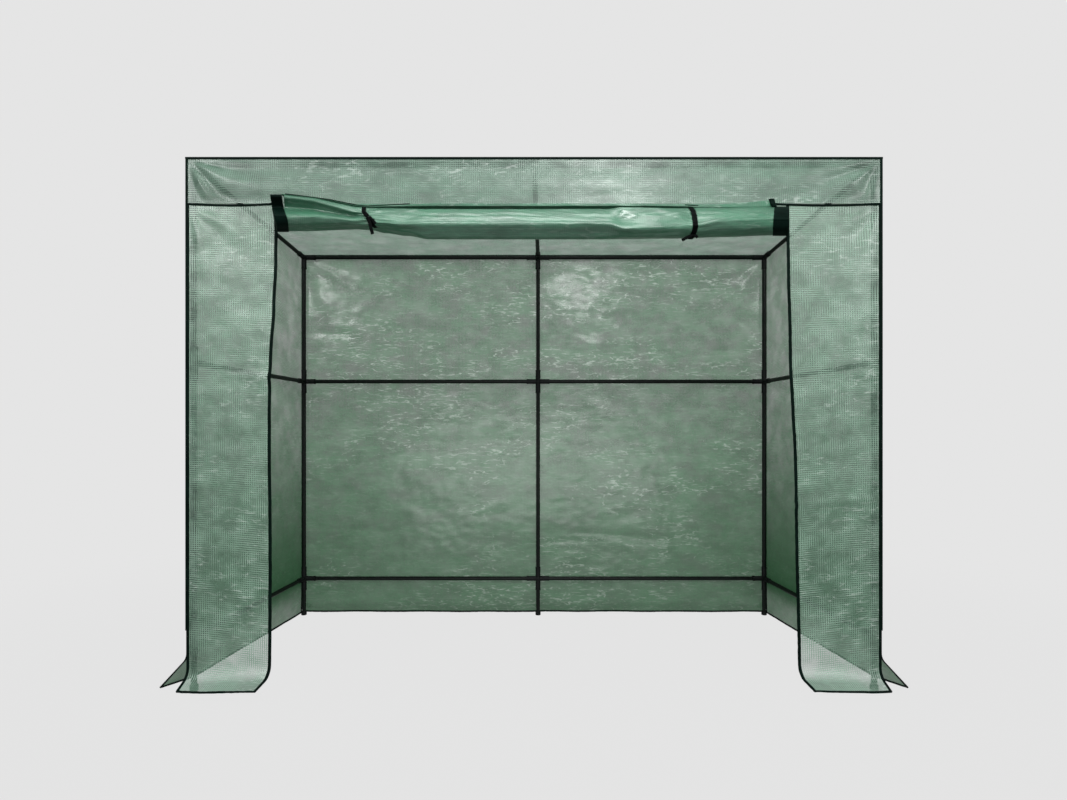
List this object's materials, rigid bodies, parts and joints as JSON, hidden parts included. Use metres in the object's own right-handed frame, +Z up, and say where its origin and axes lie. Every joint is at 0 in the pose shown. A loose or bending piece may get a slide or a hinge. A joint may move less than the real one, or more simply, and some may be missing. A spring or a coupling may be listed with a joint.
{
  "type": "walk-in greenhouse",
  "caption": "Walk-in film greenhouse: a push-together tube frame under a reinforced green cover with a rolled-up door and flared ground skirts.",
  "frame": {"origin": "on the floor, at the middle of the ground that the cover and its flared skirts reach over", "axes": "+X to the right seen from the door side, +Y from the door to the back wall, +Z up"},
  "size_m": [2.1444, 0.9009, 1.5349],
  "materials": {
    "black_tube": "satin",
    "black_plastic": "satin",
    "green_film": "satin",
    "dark_binding": "matte",
    "black_ribbon": "matte"
  },
  "bodies": {
    "root": {"back_centre_post": "black_tube", "back_left_post": "black_tube", "back_lower_joints": "black_plastic", "back_lower_rail": "black_tube", "back_middle_joints": "black_plastic", "back_middle_rail": "black_tube", "back_right_post": "black_tube", "back_top_joints": "black_plastic", "back_top_piping": "dark_binding", "back_top_rail": "black_tube", "back_wall": "green_film", "centre_rafter": "black_tube", "corner_piping": "dark_binding", "front_left_panel": "green_film", "front_left_post": "black_tube", "front_lower_joints": "black_plastic", "front_middle_joints": "black_plastic", "front_right_panel": "green_film", "front_right_post": "black_tube", "front_top_joints": "black_plastic", "front_top_piping": "dark_binding", "front_top_rail": "black_tube", "front_valance": "green_film", "hem_bindings": "dark_binding", "left_door_tape": "dark_binding", "left_lower_rail": "black_tube", "left_middle_rail": "black_tube", "left_rafter": "black_tube", "left_tie": "black_ribbon", "left_wall": "green_film", "post_feet": "black_plastic", "right_door_tape": "dark_binding", "right_lower_rail": "black_tube", "right_middle_rail": "black_tube", "right_rafter": "black_tube", "right_tie": "black_ribbon", "right_wall": "green_film", "roll_end_bindings": "dark_binding", "rolled_door": "green_film", "roof_sheet": "green_film", "seam_piping": "dark_binding", "side_top_piping": "dark_binding"}
  },
  "joints": []
}
